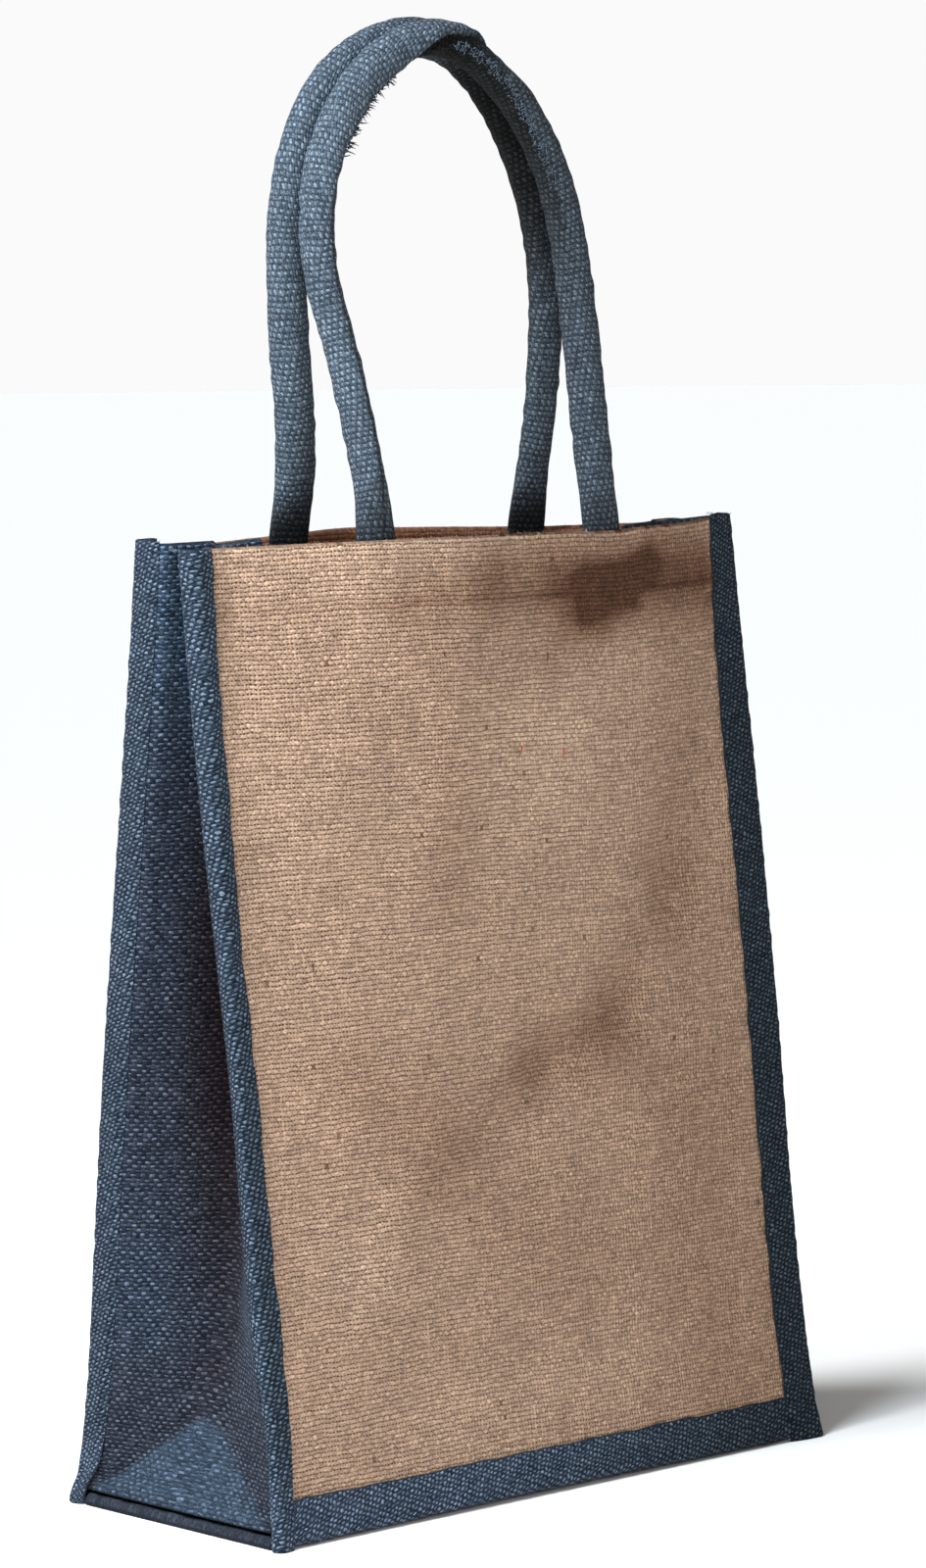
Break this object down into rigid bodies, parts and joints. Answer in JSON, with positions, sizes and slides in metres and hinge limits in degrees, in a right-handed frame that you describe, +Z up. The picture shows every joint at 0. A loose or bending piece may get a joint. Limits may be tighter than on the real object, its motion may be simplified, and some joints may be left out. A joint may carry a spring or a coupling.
{
  "type": "jute tote bag",
  "caption": "Open jute tote bag with folded side gussets, a flat base, edge strips over the seams and two stuffed carrying handles.",
  "frame": {"origin": "on the floor under the middle of the base", "axes": "+Z up, +X along the front panel to its right as seen from the front, +Y from the front panel to the back panel"},
  "size_m": [0.3141, 0.1364, 0.6123],
  "materials": {
    "jute": "plain woven natural jute",
    "blue_cloth": "plain woven dyed jute",
    "strip_cloth": "dyed jute folded over the seams",
    "handle_cloth": "dyed jute sewn round a soft core"
  },
  "bodies": {
    "root": {"front_panel": "jute", "back_panel": "jute", "gusset_left": "blue_cloth", "gusset_right": "blue_cloth", "base_panel": "blue_cloth", "strip_front_left": "strip_cloth", "strip_front_right": "strip_cloth", "strip_back_left": "strip_cloth", "strip_back_right": "strip_cloth", "strip_front_bottom": "strip_cloth", "strip_back_bottom": "strip_cloth", "handle_front": "handle_cloth", "handle_back": "handle_cloth"}
  },
  "joints": []
}
